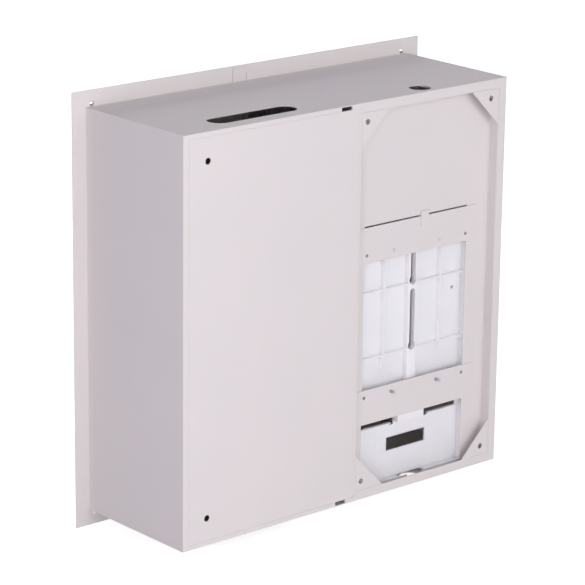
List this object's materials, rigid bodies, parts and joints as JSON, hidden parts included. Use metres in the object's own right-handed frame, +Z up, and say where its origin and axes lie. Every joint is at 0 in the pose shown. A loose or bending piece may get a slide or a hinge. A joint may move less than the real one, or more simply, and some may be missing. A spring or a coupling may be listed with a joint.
{
  "type": "electric meter box",
  "caption": "Flush-mounted sheet steel box with a meter compartment and a distribution compartment, each behind its own hinged door, seen from its open back.",
  "frame": {"origin": "below the middle of the whole box, level with the lower edge of the front flange", "axes": "+X to the right of a person facing the doors, +Y from the doors into the wall, +Z up"},
  "size_m": [0.55, 0.1852, 0.54],
  "materials": {
    "grey_steel": "fine powder coat, light grey",
    "zinc_steel": "zinc plated, satin",
    "rivet_steel": "bright, smooth",
    "white_board": "moulded, satin",
    "black_rubber": "matte",
    "clear_pane": "clear",
    "brass": "plain, satin",
    "blue_plastic": "moulded, satin",
    "green_plastic": "moulded, satin"
  },
  "bodies": {
    "housing": {"roof_sheet": "grey_steel", "floor_sheet": "grey_steel", "meter_side_wall": "grey_steel", "distribution_side_wall": "grey_steel", "distribution_back": "grey_steel", "partition_wall": "grey_steel", "meter_plate": "grey_steel", "gusset_lower_outer": "grey_steel", "gusset_lower_inner": "grey_steel", "gusset_upper_outer": "grey_steel", "gusset_upper_inner": "grey_steel", "front_frame": "grey_steel", "corner_rivets": "rivet_steel", "middle_post": "grey_steel", "meter_board": "white_board", "upper_crossbar": "grey_steel", "lower_crossbar": "grey_steel", "upper_board_screws": "zinc_steel", "lower_board_screws": "zinc_steel", "meter_hinge_brackets": "zinc_steel", "meter_hinge_pins": "zinc_steel", "distribution_hinge_brackets": "zinc_steel", "distribution_hinge_pins": "zinc_steel", "rail_support_left": "zinc_steel", "rail_support_right": "zinc_steel", "din_rail_bottom": "zinc_steel", "din_rail_middle": "zinc_steel", "din_rail_top": "zinc_steel", "rail_screws": "zinc_steel", "earth_strip": "zinc_steel", "neutral_strip": "zinc_steel", "strip_screws": "zinc_steel", "module_cover": "grey_steel", "cover_posts": "zinc_steel", "cover_screws": "zinc_steel", "earth_stud": "zinc_steel", "earth_nut": "brass", "earth_bar": "brass", "earth_bar_holders": "green_plastic", "earth_bar_screws": "zinc_steel", "neutral_bar": "brass", "neutral_bar_holders": "blue_plastic", "neutral_bar_screws": "zinc_steel"},
    "meter_door": {"meter_door": "grey_steel", "window_seal": "black_rubber", "window_pane": "clear_pane", "meter_lock_barrel": "zinc_steel", "meter_lock_nut": "zinc_steel"},
    "distribution_door": {"distribution_door": "grey_steel", "distribution_lock_barrel": "zinc_steel", "distribution_lock_nut": "zinc_steel"},
    "meter_lock": {"meter_lock_plug": "zinc_steel", "meter_lock_cam": "zinc_steel", "meter_cam_screw": "zinc_steel"},
    "distribution_lock": {"distribution_lock_plug": "zinc_steel", "distribution_lock_cam": "zinc_steel", "distribution_cam_screw": "zinc_steel"}
  },
  "joints": [
    {"name": "meter_door_hinge", "type": "hinge", "parent": "housing", "child": "meter_door", "pos_m": [-0.233, -0.0841, 0.27], "axis": [0, 0, -1], "range_deg": [0, 105]},
    {"name": "distribution_door_hinge", "type": "hinge", "parent": "housing", "child": "distribution_door", "pos_m": [0.233, -0.0841, 0.27], "axis": [0, 0, 1], "range_deg": [0, 105]},
    {"name": "meter_lock_turn", "type": "hinge", "parent": "meter_door", "child": "meter_lock", "pos_m": [-0.0365, -0.08, 0.27], "axis": [0, -1, 0], "range_deg": [0, 90]},
    {"name": "distribution_lock_turn", "type": "hinge", "parent": "distribution_door", "child": "distribution_lock", "pos_m": [0.0585, -0.08, 0.27], "axis": [0, 1, 0], "range_deg": [0, 90]}
  ]
}
